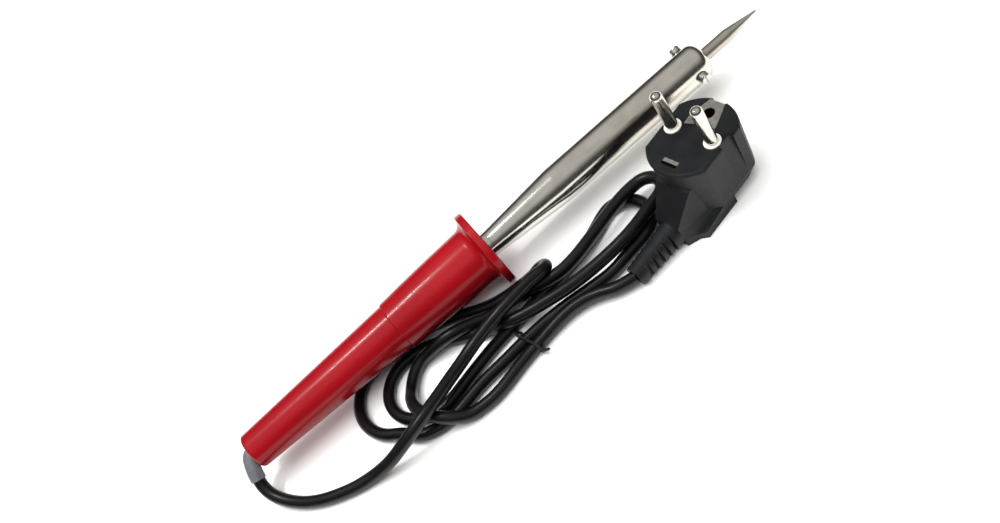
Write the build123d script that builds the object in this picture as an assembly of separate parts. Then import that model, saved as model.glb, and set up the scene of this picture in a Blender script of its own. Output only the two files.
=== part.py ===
from build123d import *

import math
import os

# Soldering iron with a red two-piece handle, a plated heater barrel and an angled mains plug.
# Millimetres. +X runs from the cord end to the tip, +Z is up. The iron lies on the rim of its
# flange; x = 0 is half way along it, y = 0 is its axis and z = 0 is the surface it lies on.

# ---- driving sizes: handle ----
HANDLE_LENGTH = 123.0
FLANGE_RADIUS = 17.1
FLANGE_RIM = 3.3
GRIP_RADIUS = 12.45
GRIP_MIDDLE = (22.0, 12.0)
GRIP_LENGTH = 47.8
GRIP_END_RADIUS = 10.75
REAR_FRONT_RADIUS = 10.15
REAR_END_RADIUS = 7.75
REAR_ROUNDING = 1.5
EDGE_ROUNDING = 0.6
SHELL_GAP = 0.05
SPIGOT_LENGTH = 9.0
SPIGOT_RADIUS = 8.55
CAVITY_END = 96.0
CORD_CAVITY_RADIUS = 4.8
REAR_WALL = 6.0
FRONT_WALL = 12.0
HANDLE_SCREW_RADIUS = 1.2
HANDLE_SCREW_HEAD_RADIUS = 2.2
HANDLE_SCREW_HEAD_HEIGHT = 1.1
HANDLE_SCREW_SINK = 0.45
HANDLE_SCREW_SLOT = 0.6

# ---- driving sizes: barrel, bit and heater ----
BARREL_LENGTH = 112.5
BARREL_RADIUS = 8.0
BARREL_WALL = 0.7
NECK_RADIUS = 5.3
NECK_DEPTH = 19.0
CONE_START = 1.5
CONE_END = 35.5
SHOULDER_RADIUS = 4.5
NOSE_WALL = 1.0
PLATE_THICKNESS = 1.5
PLATE_RADIUS = 8.4
PLATE_SCREW_RADIUS = 0.9
PLATE_SCREW_HEAD_RADIUS = 1.45
PLATE_SCREW_HEAD_HEIGHT = 1.1
PLATE_SCREW_BLIND = 4.0
EARTH_BAND_START = 16.0
EARTH_BAND_WIDTH = 3.0
EARTH_BAND_THICKNESS = 0.8
TIP_REACH = 27.0
SHANK_RADIUS = 2.75
SHANK_LENGTH = 12.5
SHANK_SEAT = 68.0
SHANK_CHAMFER = 0.6
BIT_CLEARANCE = 0.1
POINT_RADIUS = 0.35
BIT_SCREW_SETBACK = 6.9
BIT_SCREW_ANGLES = {"tip_screw_near": -3.0, "tip_screw_far": 150.0}
BIT_SCREW_RADIUS = 1.5
BIT_SCREW_CLEARANCE = 0.06
BIT_SCREW_SEAT = 0.1
BIT_SCREW_END_GAP = 0.05
BIT_SCREW_HEAD_RADIUS = 2.45
BIT_SCREW_HEAD_HEIGHT = 2.4
BIT_SCREW_HEAD_ROUNDING = 0.8
SCREW_SLOT_WIDTH = 0.7
SCREW_SLOT_DEPTH = 0.8
COLLAR_LENGTH = 12.5
CORE_WALL = 0.65
CORE_END_WALL = 0.8
MICA_THICKNESS = 0.5
WINDING_THICKNESS = 0.9
LAYER_GAP = 0.05
WASHER_THICKNESS = 3.0
HEATER_LENGTH = 48.0
HEATER_SETBACK = 4.5
WIRE_RADIUS = 0.5
GLASS_SLEEVE_RADIUS = 1.05

# ---- driving sizes: cord and wiring ----
CORD_RADIUS = 2.6
SLEEVE_WALL = 0.55
SLEEVE_INSIDE = 15.0
SLEEVE_BEND_RADIUS = 5.6
BLOCK_START = 52.0
BLOCK_LENGTH = 14.0
BLOCK_HALF_WIDTH = 4.5
BLOCK_HALF_HEIGHT = 4.0
BLOCK_FOOT_HALF_WIDTH = 3.0
TERMINAL_SPREAD = 2.3
TERMINAL_BORE = 1.15
TERMINAL_SCREW_RADIUS = 0.9
TERMINAL_SCREW_HEAD_RADIUS = 1.3
TERMINAL_SCREW_HEAD_HEIGHT = 0.6
TERMINAL_SCREW_INSET = 3.0
CORE_WIRE_RADIUS = 0.95
EARTH_WIRE_RADIUS = 0.85
CORD_END = 80.0
CLAMP_START = 84.0
CLAMP_LENGTH = 7.0
CLAMP_THICKNESS = 1.2
CLAMP_MARGIN = 2.3
CLAMP_SCREW_MARGIN = 1.15
CLAMP_SCREW_RADIUS = 0.8
CLAMP_SCREW_HEAD_RADIUS = 1.1
CLAMP_SCREW_HEAD_HEIGHT = 0.6
CLAMP_SCREW_DEPTH = 4.4
CLAMP_CLEARANCE = 0.15
SADDLE_DROP = 1.0
WALL_BITE = 0.4

# ---- driving sizes: plug ----
PLUG_HEIGHT = 31.0
PLUG_CENTRE = (73.3, -40.25)
PLUG_YAW = 14.0
PLUG_FACE_RADIUS = 18.0
PLUG_FACE_OFFSET = 0.9
PLUG_HALF_WIDTH = 14.6
PLUG_DRAFT = 4.0
PLUG_ROUNDING = 1.2
PLUG_BACK_ROUNDING = 1.2
BASE_BEVEL_HEIGHT = 8.0
BASE_BEVEL_INSET = 4.6
SHOULDER_START = 4.0
SHOULDER_DROP = 3.0
SHOULDER_MIDDLE = (18.0, 21.5)
SHOULDER_END = (28.0, 10.8)
FOOT_HEIGHT = 3.0
SIDE_HEIGHT = 8.0
FOOT_OUTLINE = [(0.0, 11.2), (21.5, 11.2), (23.4, 8.4), (28.0, 5.9)]
SIDE_OUTLINE = [(0.0, 12.4), (1.4, 12.2), (20.0, 7.4), (28.0, 5.6)]
GROOVE_WIDTH = 6.4
GROOVE_DEPTH = 1.4
GROOVE_HEIGHT = 23.0
GROOVE_OFFSET = -2.2
PIN_RADIUS = 2.4
PIN_ROOT_RADIUS = 2.0
PIN_SPACING = 19.0
PIN_LENGTH = 19.0
PIN_ROOT = 10.0
PIN_NECK = 0.9
PIN_DOME = 2.1
CARRIER_LENGTH = 8.4
CARRIER_WIDTH = 24.0
CARRIER_HEIGHT = 12.0
CARRIER_BASE = 10.0
PIN_COLLAR_RADIUS = 3.4
PIN_COLLAR_PROUD = 0.5
EARTH_OFFSET = 10.0
EARTH_RADIUS = 2.45
EARTH_DEPTH = 17.4
EARTH_TUBE_WALL = 0.7
EARTH_PLATE_THICKNESS = 0.8
EARTH_PLATE_PROUD = 0.1
EARTH_LEAF_U = -15.6
EARTH_LEAF_HALF_WIDTH = 3.5
EARTH_CLIP_U = 12.4
EARTH_CLIP_THICKNESS = 1.5
CLIP_RECESS = 1.2
CLIP_RECESS_BASE = 15.0
EARTH_BAR_HEIGHT = 8.0
EARTH_BAR_THICKNESS = 0.9
EARTH_BAR_HALF_WIDTH = 3.0
BOOT_START = 21.0
BOOT_OFFSET = 0.9
BOOT_BEND = -5.0
BOOT_LENGTH = 28.5
BOOT_ROOT_RADIUS = 5.9
BOOT_END_RADIUS = 4.3
BOOT_SLOTS = 5
BOOT_SLOT_START = 11.0
BOOT_SLOT_PITCH = 3.2
BOOT_SLOT_WIDTH = 1.4
BOOT_SLOT_HEIGHT = 12.0
BOOT_SPINE = 2.7
PLUG_CORD_START = 2.0
PLUG_CORE_RADIUS = 0.9
PLUG_CORE_SPREAD = 1.3
PLUG_CORE_LEAD = 0.8
PLUG_CORE_FOOT = 2.0
PLUG_CORE_DROP = 4.0

# ---- places worked out from them ----
OVERALL = HANDLE_LENGTH + BARREL_LENGTH + TIP_REACH
X_REAR = -OVERALL / 2
X_FLANGE = X_REAR + HANDLE_LENGTH
X_NOSE = X_FLANGE + BARREL_LENGTH
X_POINT = X_NOSE + TIP_REACH
X_STEP = X_FLANGE - GRIP_LENGTH
AXIS_HEIGHT = FLANGE_RADIUS
HANDLE_SCREW_SETBACK = GRIP_LENGTH - SPIGOT_LENGTH / 2
HANDLE_SCREW_HEAD_FACE = HANDLE_SCREW_SINK - GRIP_END_RADIUS
BARREL_BORE = BARREL_RADIUS - BARREL_WALL
PLATE_SCREW_PITCH = (NECK_RADIUS + PLATE_RADIUS) / 2
PLATE_SCREW_END = FRONT_WALL + PLATE_THICKNESS + PLATE_SCREW_HEAD_HEIGHT
BIT_BORE = SHANK_RADIUS + BIT_CLEARANCE
CORE_RADIUS = BIT_BORE + CORE_WALL
WINDING_BORE = CORE_RADIUS + MICA_THICKNESS + 2 * LAYER_GAP
WINDING_RADIUS = WINDING_BORE + WINDING_THICKNESS
WIRE_SPREAD = (WINDING_BORE + WINDING_RADIUS) / 2
X_COLLAR = X_NOSE - SHOULDER_RADIUS - COLLAR_LENGTH
X_HEATER_END = X_COLLAR - HEATER_SETBACK - WASHER_THICKNESS
X_HEATER = X_HEATER_END - HEATER_LENGTH
X_BIT_SCREW = X_NOSE - BIT_SCREW_SETBACK
SLEEVE_BORE = CORD_RADIUS + SHELL_GAP
SLEEVE_RADIUS = SLEEVE_BORE + SLEEVE_WALL
CLAMP_HALF_WIDTH = CORD_RADIUS + CLAMP_MARGIN
CLAMP_SCREW_SPREAD = CORD_RADIUS + CLAMP_SCREW_MARGIN
CLAMP_TOP = CORD_RADIUS + CLAMP_THICKNESS + CLAMP_SCREW_HEAD_HEIGHT
CAVITY_RADIUS = math.hypot(CLAMP_SCREW_SPREAD + CLAMP_SCREW_HEAD_RADIUS, CLAMP_TOP) + CLAMP_CLEARANCE
PLUG_INSET = (PLUG_HEIGHT - BASE_BEVEL_HEIGHT) * math.tan(math.radians(PLUG_DRAFT))
PLATE_TOP = PLUG_HEIGHT + EARTH_PLATE_PROUD

# ---- the cord's line where it isn't in the hank ----
SLEEVE_ROUTE = [
    (X_REAR + SLEEVE_INSIDE, 0, AXIS_HEIGHT),
    (X_REAR - 7.35, 0, AXIS_HEIGHT),
    (X_REAR - 8.35, -8.3, AXIS_HEIGHT - 6.7),
]
RUN_ROUTE = [
    SLEEVE_ROUTE[-1],
    (X_REAR - 8.6, -10.38, AXIS_HEIGHT - 8.38),
    (-139.1, -13.0, 6.0),
    (-136.5, -17.0, 3.4),
    (-132.0, -21.6, 2.6),
    (-125.0, -27.0, 2.6),
    (-116.4, -32.2, 2.6),
    (-106.6, -36.2, 2.6),
    (-96.8, -38.0, 2.6),
    (-88.0, -38.0, 2.6),
]
TAIL_ROUTE = [(7.5, -45.0, 2.6), (14.0, -46.83, 2.6)]
TAIL_END_RUN = 6.0

# ---- the hank: three layers of cord lying in front of the iron and under its handle ----
HANK_LAYER = 2 * CORD_RADIUS
HANK_LOW = [
    (-88.0, -42.4), (-88.0, -33.6), (-93.4, -20.0), (-93.4, -8.0), (-87.0, 2.5), (-76.0, 7.8),
    (-56.0, 7.8), (-40.0, 2.0), (-24.0, -8.0), (-12.0, -14.5), (10.0, -17.0), (30.0, -13.5),
    (48.0, -12.5), (56.0, -17.5), (56.5, -24.0), (44.0, -35.9), (38.0, -39.2), (33.0, -41.8),
    (24.0, -44.0), (14.0, -43.4), (8.26, -42.3), (6.74, -47.7), (-4.0, -44.8), (-20.0, -46.6),
    (-40.0, -50.8), (-52.0, -51.2), (-62.0, -47.5), (-74.0, -43.5),
]
HANK_MIDDLE = [
    (-80.0, -42.3), (-64.0, -33.0), (-58.0, -16.0), (-50.0, -13.8), (-30.0, -14.5), (-14.0, -16.3),
    (8.0, -17.5), (20.0, -21.0), (44.0, -15.8), (55.0, -17.5), (56.0, -24.0), (44.0, -35.4),
    (24.0, -39.2), (0.0, -38.8), (-20.0, -33.5), (-50.0, -35.5), (-62.0, -39.5),
]
HANK_TOP = [
    (-36.0, -33.0), (-34.0, -27.0), (-12.0, -23.8), (-6.0, -19.0), (6.0, -17.6), (9.0, -20.0),
    (7.0, -24.5), (-8.0, -29.5), (-22.0, -32.0),
]
TIE_X = (-23.4, -22.0)
TIE_Y = (-47.0, -25.4)
TIE_TOP = 9.0
TIE_THICKNESS = 0.7


def behind(distance):
    """x of a place that far behind the flange's front face."""
    return X_FLANGE - distance


def rod(x0, x1, radius, y=0.0, z=0.0):
    """A round bar along X."""
    bar = Cylinder(radius, x1 - x0, align=(Align.CENTER, Align.CENTER, Align.MIN))
    return Pos(x0, y, z) * Rot(0, 90, 0) * bar


def ring(x0, x1, bore, radius):
    """A plain tube on the iron's axis."""
    return rod(x0, x1, radius) - rod(x0 - 1, x1 + 1, bore)


def block(x0, x1, y0, y1, z0, z1):
    size = (x1 - x0, y1 - y0, z1 - z0)
    return Pos((x0 + x1) / 2, (y0 + y1) / 2, (z0 + z1) / 2) * Box(*size)


def turned(edges):
    """A solid of revolution about the iron's axis, from a closed outline of (x, radius)."""
    return revolve(make_face(edges), Axis.X, 360)


def turned_points(points):
    return turned(Polyline(*points, close=True))


def upright(x, y, z0, z1, radius):
    """A round bar along Z."""
    return Pos(x, y, z0) * Cylinder(radius, z1 - z0, align=(Align.CENTER, Align.CENTER, Align.MIN))


def corner_radii(route):
    """The largest arc at each corner that leaves a tenth of its shorter run straight."""
    radii = []
    for before, here, after in zip(route, route[1:], route[2:]):
        arriving = Vector(*here) - Vector(*before)
        leaving = Vector(*after) - Vector(*here)
        half_turn = math.radians(arriving.get_angle(leaving)) / 2
        shorter = min(arriving.length, leaving.length)
        radii.append(0.45 * shorter / math.tan(half_turn))
    return radii


def swept(route, radius, radii=None, name=None):
    """A round cord along straight runs joined by tangent arcs."""
    radii = radii or corner_radii(route)
    if len(route) > 2:
        path = FilletPolyline(*route, radius=radii)
    else:
        path = Line(*route)
    section = Plane(origin=path @ 0, z_dir=path % 0) * Circle(radius)
    solid = sweep(section, path=path)
    if name:
        expected = math.pi * radius**2 * path.length
        listed = [round(r, 1) for r in radii]
        print(name, "length", round(path.length, 1), "arc radii", listed)
        print(name, "volume", round(solid.volume, 1), "section times length", round(expected, 1))
    return solid


# ---- handle ----
def handle_front_shell():
    """Grip with the round flange; its bore takes the barrel's neck and the rear shell's spigot."""
    edge = EDGE_ROUNDING
    flare = FLANGE_RADIUS - edge - GRIP_RADIUS
    x_rim = behind(FLANGE_RIM)
    x_grip = x_rim - flare
    grip_start = (X_STEP + edge, GRIP_END_RADIUS)
    grip_middle = (behind(GRIP_MIDDLE[0]), GRIP_MIDDLE[1])
    outline = (
        Line((X_STEP, 0), (X_STEP, GRIP_END_RADIUS - edge))
        + CenterArc((X_STEP + edge, GRIP_END_RADIUS - edge), edge, 180, -90)
        + ThreePointArc(grip_start, grip_middle, (x_grip, GRIP_RADIUS))
        + CenterArc((x_grip, FLANGE_RADIUS - edge), flare, 270, 90)
        + CenterArc((x_rim + edge, FLANGE_RADIUS - edge), edge, 180, -90)
        + Line((x_rim + edge, FLANGE_RADIUS), (X_FLANGE - edge, FLANGE_RADIUS))
        + CenterArc((X_FLANGE - edge, FLANGE_RADIUS - edge), edge, 90, -90)
        + Line((X_FLANGE, FLANGE_RADIUS - edge), (X_FLANGE, 0))
        + Line((X_FLANGE, 0), (X_STEP, 0))
    )
    shell = turned(outline)
    shell -= rod(X_STEP - 1, behind(FRONT_WALL), SPIGOT_RADIUS + SHELL_GAP)
    shell -= rod(behind(FRONT_WALL) - 1, X_FLANGE + 1, NECK_RADIUS + SHELL_GAP)
    for side in (-1, 1):
        hole = PLATE_SCREW_RADIUS + SHELL_GAP
        shell -= rod(behind(PLATE_SCREW_END), behind(PLATE_SCREW_BLIND), hole, 0, side * PLATE_SCREW_PITCH)
    return shell - handle_screw_hole()


def handle_rear_shell():
    """Tapered rear grip, plugged into the front shell, with the rests for the wiring."""
    bend = REAR_ROUNDING
    outline = (
        Line((X_REAR, 0), (X_REAR, REAR_END_RADIUS - bend))
        + CenterArc((X_REAR + bend, REAR_END_RADIUS - bend), bend, 180, -90)
        + Line((X_REAR + bend, REAR_END_RADIUS), (X_STEP, REAR_FRONT_RADIUS))
        + Line((X_STEP, REAR_FRONT_RADIUS), (X_STEP, 0))
        + Line((X_STEP, 0), (X_REAR, 0))
    )
    body = turned(outline)
    body += rod(X_STEP - 1, X_STEP + SPIGOT_LENGTH, SPIGOT_RADIUS)
    body -= rod(behind(CAVITY_END), X_STEP + SPIGOT_LENGTH + 1, CAVITY_RADIUS)
    body -= rod(X_REAR + REAR_WALL, behind(CAVITY_END) + 1, CORD_CAVITY_RADIUS)
    body -= rod(X_REAR - 1, X_REAR + REAR_WALL + 1, SLEEVE_RADIUS + SHELL_GAP)
    x_block = behind(BLOCK_START + BLOCK_LENGTH)
    foot = BLOCK_FOOT_HALF_WIDTH
    floor = -CAVITY_RADIUS - WALL_BITE
    body += block(x_block, x_block + BLOCK_LENGTH, -foot, foot, floor, -BLOCK_HALF_HEIGHT)
    x_clamp = behind(CLAMP_START + CLAMP_LENGTH)
    half = CLAMP_HALF_WIDTH
    saddle = block(x_clamp, x_clamp + CLAMP_LENGTH, -half, half, floor, -SADDLE_DROP)
    saddle &= rod(x_clamp, x_clamp + CLAMP_LENGTH, CAVITY_RADIUS + WALL_BITE)
    saddle -= rod(x_clamp - 1, x_clamp + CLAMP_LENGTH + 1, CORD_RADIUS)
    body += saddle
    for side in (-1, 1):
        x = x_clamp + CLAMP_LENGTH / 2
        hole = CLAMP_SCREW_RADIUS + SHELL_GAP
        body -= upright(x, side * CLAMP_SCREW_SPREAD, -CLAMP_SCREW_DEPTH - SHELL_GAP, 0, hole)
    return body - handle_screw_hole()


def handle_screw_shape(gap):
    """Countersunk screw under the handle that pins the two shells together."""
    x = behind(HANDLE_SCREW_SETBACK)
    head_top = HANDLE_SCREW_HEAD_FACE + HANDLE_SCREW_HEAD_HEIGHT
    head = Cone(
        HANDLE_SCREW_HEAD_RADIUS + gap,
        HANDLE_SCREW_RADIUS + gap,
        HANDLE_SCREW_HEAD_HEIGHT,
        align=(Align.CENTER, Align.CENTER, Align.MIN),
    )
    shank_end = -CAVITY_RADIUS - WALL_BITE / 2 + gap
    return Pos(x, 0, HANDLE_SCREW_HEAD_FACE) * head + upright(
        x, 0, head_top, shank_end, HANDLE_SCREW_RADIUS + gap
    )


def handle_screw_hole():
    mouth = upright(
        behind(HANDLE_SCREW_SETBACK), 0, -FLANGE_RADIUS, HANDLE_SCREW_HEAD_FACE,
        HANDLE_SCREW_HEAD_RADIUS + SHELL_GAP,
    )
    return handle_screw_shape(SHELL_GAP) + mouth


def handle_screw():
    x = behind(HANDLE_SCREW_SETBACK)
    reach = HANDLE_SCREW_HEAD_RADIUS + 1
    half = SCREW_SLOT_WIDTH / 2
    face = HANDLE_SCREW_HEAD_FACE
    slot = block(x - reach, x + reach, -half, half, face - 1, face + HANDLE_SCREW_SLOT)
    return handle_screw_shape(0) - slot


# ---- barrel and its fixing ----

def barrel_outline(shrink):
    """Outline of the barrel from its neck to its shoulder, drawn in by the wall's thickness."""
    shoulder = SHOULDER_RADIUS - shrink
    nose = X_NOSE - (NOSE_WALL if shrink else 0)
    radius = BARREL_RADIUS - shrink
    x_back = behind(NECK_DEPTH) - (1 if shrink else 0)
    return (
        Line((x_back, 0), (x_back, NECK_RADIUS - shrink))
        + Line((x_back, NECK_RADIUS - shrink), (X_FLANGE + CONE_START, NECK_RADIUS - shrink))
        + Line((X_FLANGE + CONE_START, NECK_RADIUS - shrink), (X_FLANGE + CONE_END, radius))
        + Line((X_FLANGE + CONE_END, radius), (nose - shoulder, radius))
        + CenterArc((nose - shoulder, radius - shoulder), shoulder, 0, 90)
        + Line((nose, radius - shoulder), (nose, 0))
        + Line((nose, 0), (x_back, 0))
    )


def radial(angle, r0, r1, radius):
    """A round bar standing out from the axis; angle 0 points to -Y and 90 to +Z."""
    bar = Cylinder(radius, r1 - r0, align=(Align.CENTER, Align.CENTER, Align.MIN))
    return Pos(X_BIT_SCREW, 0, 0) * Rot(90 - angle, 0, 0) * Pos(0, 0, r0) * bar


def barrel_tube():
    """Thin plated steel tube, swaged down to a neck behind and closed round the bit in front."""
    tube = turned(barrel_outline(0)) - turned(barrel_outline(BARREL_WALL))
    tube -= rod(X_NOSE - 3, X_NOSE + 1, BIT_BORE)
    hole = BIT_SCREW_RADIUS + BIT_SCREW_CLEARANCE
    for angle in BIT_SCREW_ANGLES.values():
        tube -= radial(angle, BARREL_RADIUS / 2, BARREL_RADIUS + 1, hole)
    return tube


def bit_collar():
    """Steel collar inside the barrel's nose: the bit runs through it and both screws thread in."""
    collar = ring(X_COLLAR, X_COLLAR + COLLAR_LENGTH, BIT_BORE, BARREL_BORE - LAYER_GAP)
    for angle in BIT_SCREW_ANGLES.values():
        collar -= radial(angle, 0, BARREL_RADIUS, BIT_SCREW_RADIUS + BIT_SCREW_CLEARANCE)
    return collar


def bit_screw(angle):
    """Pan-head screw; its end stops just short of the bit's shank."""
    seat = BARREL_RADIUS + BIT_SCREW_SEAT
    shank = radial(angle, SHANK_RADIUS + BIT_SCREW_END_GAP, seat, BIT_SCREW_RADIUS)
    head = radial(angle, seat, seat + BIT_SCREW_HEAD_HEIGHT, BIT_SCREW_HEAD_RADIUS)
    outward = Vector(0, -math.cos(math.radians(angle)), math.sin(math.radians(angle)))
    rims = head.edges().filter_by(GeomType.CIRCLE)
    outer_rim = rims.sort_by(lambda edge: edge.arc_center.dot(outward))[-1]
    head = fillet([outer_rim], BIT_SCREW_HEAD_ROUNDING)
    reach = seat + BIT_SCREW_HEAD_HEIGHT
    slot = Pos(X_BIT_SCREW, 0, 0) * Rot(90 - angle, 0, 0) * Pos(0, 0, reach) * Box(
        SCREW_SLOT_WIDTH, 3 * BIT_SCREW_HEAD_RADIUS, 2 * SCREW_SLOT_DEPTH
    )
    return shank + head - slot


def neck_plate():
    """Steel washer brazed round the neck, screwed to the back of the handle's front wall."""
    x0 = behind(FRONT_WALL + PLATE_THICKNESS)
    plate = ring(x0, x0 + PLATE_THICKNESS, NECK_RADIUS, PLATE_RADIUS)
    hole = PLATE_SCREW_RADIUS + SHELL_GAP
    for side in (-1, 1):
        plate -= rod(x0 - 1, x0 + PLATE_THICKNESS + 1, hole, 0, side * PLATE_SCREW_PITCH)
    return plate


def neck_plate_screws():
    x_head = behind(PLATE_SCREW_END)
    x_seat = x_head + PLATE_SCREW_HEAD_HEIGHT
    screws = []
    for side in (-1, 1):
        head = rod(x_head, x_seat, PLATE_SCREW_HEAD_RADIUS, 0, side * PLATE_SCREW_PITCH)
        shank = rod(x_seat, behind(PLATE_SCREW_BLIND), PLATE_SCREW_RADIUS, 0, side * PLATE_SCREW_PITCH)
        screws.append(head + shank)
    return Part() + screws


# ---- bit and heater ----
def tip():
    """Plated copper bit: a long shank, and a cone drawn to a point."""
    x_back = X_NOSE - SHANK_SEAT
    x_cone = X_NOSE + SHANK_LENGTH
    return turned_points(
        [
            (x_back, 0),
            (x_back, SHANK_RADIUS - SHANK_CHAMFER),
            (x_back + SHANK_CHAMFER, SHANK_RADIUS),
            (x_cone, SHANK_RADIUS),
            (X_POINT, POINT_RADIUS),
            (X_POINT, 0),
        ]
    )


def core_tube():
    """Thin steel tube that the bit slides into and the heater is wound on."""
    x0 = X_HEATER - WASHER_THICKNESS
    closed_end = rod(x0, x0 + CORE_END_WALL, CORE_RADIUS)
    return ring(x0, X_COLLAR, BIT_BORE, CORE_RADIUS) + closed_end


def inner_mica():
    bore = CORE_RADIUS + LAYER_GAP
    return ring(X_HEATER, X_HEATER_END, bore, bore + MICA_THICKNESS)


def heater_winding():
    """The resistance wire's close-wound layer, as one sleeve."""
    return ring(X_HEATER, X_HEATER_END, WINDING_BORE, WINDING_RADIUS)


def outer_mica():
    bore = WINDING_RADIUS + LAYER_GAP
    return ring(X_HEATER, X_HEATER_END, bore, bore + MICA_THICKNESS)


def ceramic_washer(x0):
    return ring(x0, x0 + WASHER_THICKNESS, CORE_RADIUS + LAYER_GAP, BARREL_BORE - LAYER_GAP)


def rear_ceramic_washer():
    washer = ceramic_washer(X_HEATER - WASHER_THICKNESS)
    for side in (-1, 1):
        washer -= rod(X_HEATER - 5, X_HEATER + 1, WIRE_RADIUS + LAYER_GAP, side * WIRE_SPREAD)
    return washer


def heater_lead(side):
    """Stiff nickel wire from the winding's back end to the terminal block."""
    route = [
        (X_HEATER, side * WIRE_SPREAD, 0),
        (X_HEATER - 8, side * WIRE_SPREAD, 0),
        (X_HEATER - 28, side * TERMINAL_SPREAD, 0),
        (behind(BLOCK_START + BLOCK_LENGTH / 2 - 1), side * TERMINAL_SPREAD, 0),
    ]
    return swept(route, WIRE_RADIUS, radii=[15.0, 15.0])


def lead_sleeves():
    """Woven glass sleeves on both heater wires where they pass the neck."""
    sleeves = []
    for side in (-1, 1):
        y = side * TERMINAL_SPREAD
        outer = rod(behind(BLOCK_START - 1), X_HEATER - 32, GLASS_SLEEVE_RADIUS, y)
        sleeves.append(outer - rod(behind(BLOCK_START), X_HEATER - 31, WIRE_RADIUS + LAYER_GAP, y))
    return Part() + sleeves


# ---- wiring in the handle ----
def terminal_block():
    x0 = behind(BLOCK_START + BLOCK_LENGTH)
    half = BLOCK_HALF_WIDTH
    body = block(x0, x0 + BLOCK_LENGTH, -half, half, -BLOCK_HALF_HEIGHT, BLOCK_HALF_HEIGHT)
    for side in (-1, 1):
        body -= rod(x0 - 1, x0 + BLOCK_LENGTH + 1, TERMINAL_BORE, side * TERMINAL_SPREAD)
        for x in terminal_screw_places():
            hole = TERMINAL_SCREW_RADIUS + LAYER_GAP
            body -= upright(x, side * TERMINAL_SPREAD, 0, BLOCK_HALF_HEIGHT + 1, hole)
    return body


def terminal_screw_places():
    inset = TERMINAL_SCREW_INSET
    return [behind(BLOCK_START + inset), behind(BLOCK_START + BLOCK_LENGTH - inset)]


def terminal_screws():
    screws = []
    for side in (-1, 1):
        for x in terminal_screw_places():
            y = side * TERMINAL_SPREAD
            seat = BLOCK_HALF_HEIGHT
            shank = upright(x, y, TERMINAL_BORE, seat, TERMINAL_SCREW_RADIUS)
            head_end = seat + TERMINAL_SCREW_HEAD_HEIGHT
            screws.append(shank + upright(x, y, seat, head_end, TERMINAL_SCREW_HEAD_RADIUS))
    return Part() + screws


def cord_core(side):
    """Insulated core from the stripped end of the cord to the terminal block."""
    route = [
        (behind(BLOCK_START + BLOCK_LENGTH / 2 + 1), side * TERMINAL_SPREAD, 0),
        (behind(BLOCK_START + BLOCK_LENGTH + 4), side * TERMINAL_SPREAD, 0),
        (behind(CORD_END - 2), side * 1.2, 0.7),
        (behind(CORD_END), side * 1.2, 0.7),
    ]
    return swept(route, CORE_WIRE_RADIUS, radii=[4.0, 4.0])


def earth_band():
    """Band clamped round the end of the neck; the earth core is crimped to it."""
    x0 = behind(EARTH_BAND_START + EARTH_BAND_WIDTH)
    return ring(x0, x0 + EARTH_BAND_WIDTH, NECK_RADIUS, NECK_RADIUS + EARTH_BAND_THICKNESS)


def earth_core():
    side_place = NECK_RADIUS + 0.35
    route = [
        (behind(EARTH_BAND_START + EARTH_BAND_WIDTH), -side_place, 0),
        (behind(BLOCK_START - 2), -side_place, 0),
        (behind(BLOCK_START + BLOCK_LENGTH + 2), -side_place + 0.2, -1.8),
        (behind(CORD_END - 2), -0.2, -1.65),
        (behind(CORD_END), -0.2, -1.65),
    ]
    return swept(route, EARTH_WIRE_RADIUS, radii=[20.0, 6.0, 2.0])


def cord_clamp_bar():
    x0 = behind(CLAMP_START + CLAMP_LENGTH)
    half = CLAMP_HALF_WIDTH
    bar = block(x0, x0 + CLAMP_LENGTH, -half, half, CORD_RADIUS, CORD_RADIUS + CLAMP_THICKNESS)
    for side in (-1, 1):
        y = side * CLAMP_SCREW_SPREAD
        bar -= upright(x0 + CLAMP_LENGTH / 2, y, 0, 6, CLAMP_SCREW_RADIUS + SHELL_GAP)
    return bar


def cord_clamp_screws():
    x = behind(CLAMP_START + CLAMP_LENGTH / 2)
    top = CORD_RADIUS + CLAMP_THICKNESS
    screws = []
    for side in (-1, 1):
        y = side * CLAMP_SCREW_SPREAD
        shank = upright(x, y, -CLAMP_SCREW_DEPTH, top, CLAMP_SCREW_RADIUS)
        screws.append(shank + upright(x, y, top, CLAMP_TOP, CLAMP_SCREW_HEAD_RADIUS))
    return Part() + screws


# ---- cord ----
def strain_relief_sleeve():
    outer = swept(SLEEVE_ROUTE, SLEEVE_RADIUS, radii=[SLEEVE_BEND_RADIUS])
    return outer - swept(SLEEVE_ROUTE, SLEEVE_BORE, radii=[SLEEVE_BEND_RADIUS])


def cord_entry():
    """The cord inside the sleeve and the handle, up to its stripped end."""
    route = [(behind(CORD_END), 0, AXIS_HEIGHT)] + SLEEVE_ROUTE[1:]
    return swept(route, CORD_RADIUS, radii=[SLEEVE_BEND_RADIUS])


def layer(outline, z0, z1):
    face = make_face(Polyline(*outline, close=True))
    return Pos(0, 0, z0) * extrude(face, z1 - z0)


def tie_loop():
    outer = block(*TIE_X, *TIE_Y, 0, TIE_TOP)
    inner = block(
        TIE_X[0] - 1, TIE_X[1] + 1,
        TIE_Y[0] + TIE_THICKNESS, TIE_Y[1] - TIE_THICKNESS,
        TIE_THICKNESS, TIE_TOP - TIE_THICKNESS,
    )
    return outer - inner


def cord_hank():
    hank = layer(HANK_LOW, 0, HANK_LAYER)
    hank += layer(HANK_MIDDLE, HANK_LAYER, 2 * HANK_LAYER)
    hank += layer(HANK_TOP, 2 * HANK_LAYER, 3 * HANK_LAYER)
    return hank - tie_loop()


# ---- plug ----
def on_plug(shape):
    """Places a shape drawn with the plug's face centre at x = y = 0 and its cord along +X."""
    return Pos(*PLUG_CENTRE, 0) * Rot(0, 0, 180 + PLUG_YAW) * shape


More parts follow.
